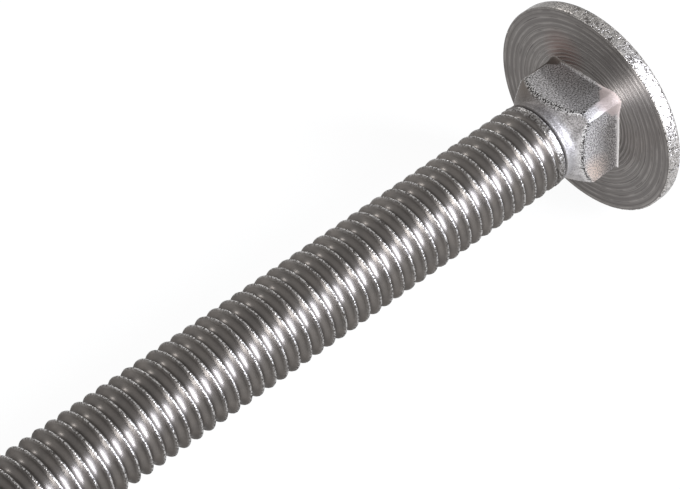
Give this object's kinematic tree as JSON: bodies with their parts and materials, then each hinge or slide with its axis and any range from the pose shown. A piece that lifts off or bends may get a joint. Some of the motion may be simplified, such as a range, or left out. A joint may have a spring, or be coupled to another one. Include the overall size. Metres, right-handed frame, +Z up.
{
  "type": "carriage bolt",
  "caption": "Carriage bolt with a low domed head, a square neck that stops it turning and a fully threaded shank with a chamfered tip.",
  "frame": {"origin": "centre of the bottom of the bolt's box, on the floor that it lies on", "axes": "+Z up; the bolt's axis lies in the XZ plane with its tip towards +X, falling 4.9 degrees towards the tip, and two of the neck's flats face +Y and -Y"},
  "size_m": [0.0746, 0.0198, 0.0198],
  "materials": {
    "stainless_steel": "bare stainless steel: turned rings under the head, tumbled rim and dome, forged neck, rolled thread"
  },
  "bodies": {
    "root": {"carriage_bolt": "stainless_steel"}
  },
  "joints": []
}
